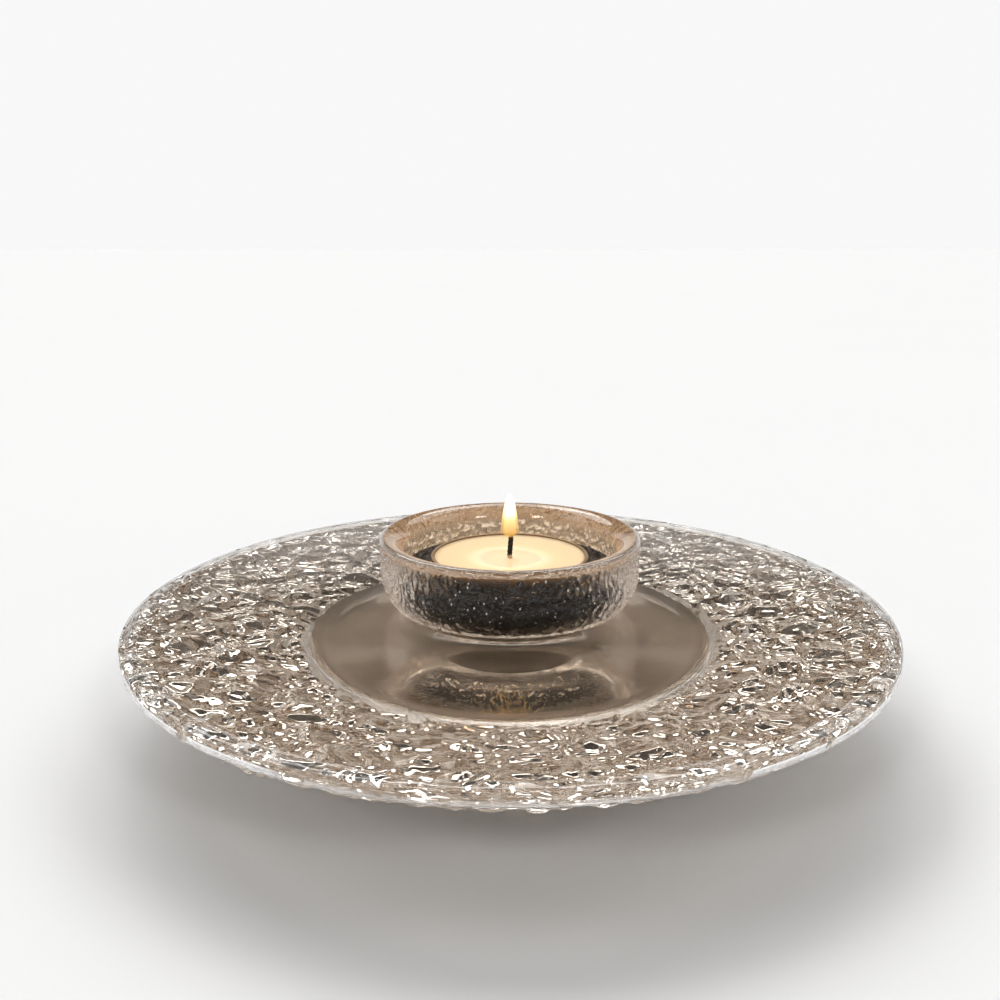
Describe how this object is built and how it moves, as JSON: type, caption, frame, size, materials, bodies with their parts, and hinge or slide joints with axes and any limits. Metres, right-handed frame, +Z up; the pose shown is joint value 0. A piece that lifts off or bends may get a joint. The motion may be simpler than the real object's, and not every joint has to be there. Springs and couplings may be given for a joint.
{
  "type": "floating candle bowl",
  "caption": "Shallow glass bowl filled with water, with a round-bottomed glass dish floating in the middle that holds a lit tealight.",
  "frame": {"origin": "on the table under the centre of the bowl's foot", "axes": "+Z up along the bowl's axis of turning; X and Y are alike"},
  "size_m": [0.18, 0.18, 0.0434],
  "materials": {
    "bowl_glass": "clear, rippled underneath",
    "water": "still clear water",
    "dish_glass": "clear, rippled side",
    "cup_metal": "dark satin lacquer",
    "wax": "smooth translucent wax",
    "tin": "tinned",
    "wick_cotton": "charred cotton"
  },
  "bodies": {
    "bowl": {"bowl": "bowl_glass"},
    "water": {"water": "water"},
    "dish": {"floating_dish": "dish_glass"},
    "tealight": {"tealight_cup": "cup_metal", "wax": "wax", "wick_tab": "tin", "wick": "wick_cotton"}
  },
  "joints": [
    {"name": "float_spin", "type": "hinge", "parent": "bowl", "child": "water", "pos_m": [0, 0, 0.0254], "axis": [0, 0, 1], "continuous": true},
    {"name": "dish_lift", "type": "slide", "parent": "water", "child": "dish", "axis": [0, 0, 1], "range_m": [0, 0.06]},
    {"name": "tealight_lift", "type": "slide", "parent": "dish", "child": "tealight", "axis": [0, 0, 1], "range_m": [0, 0.04]}
  ]
}
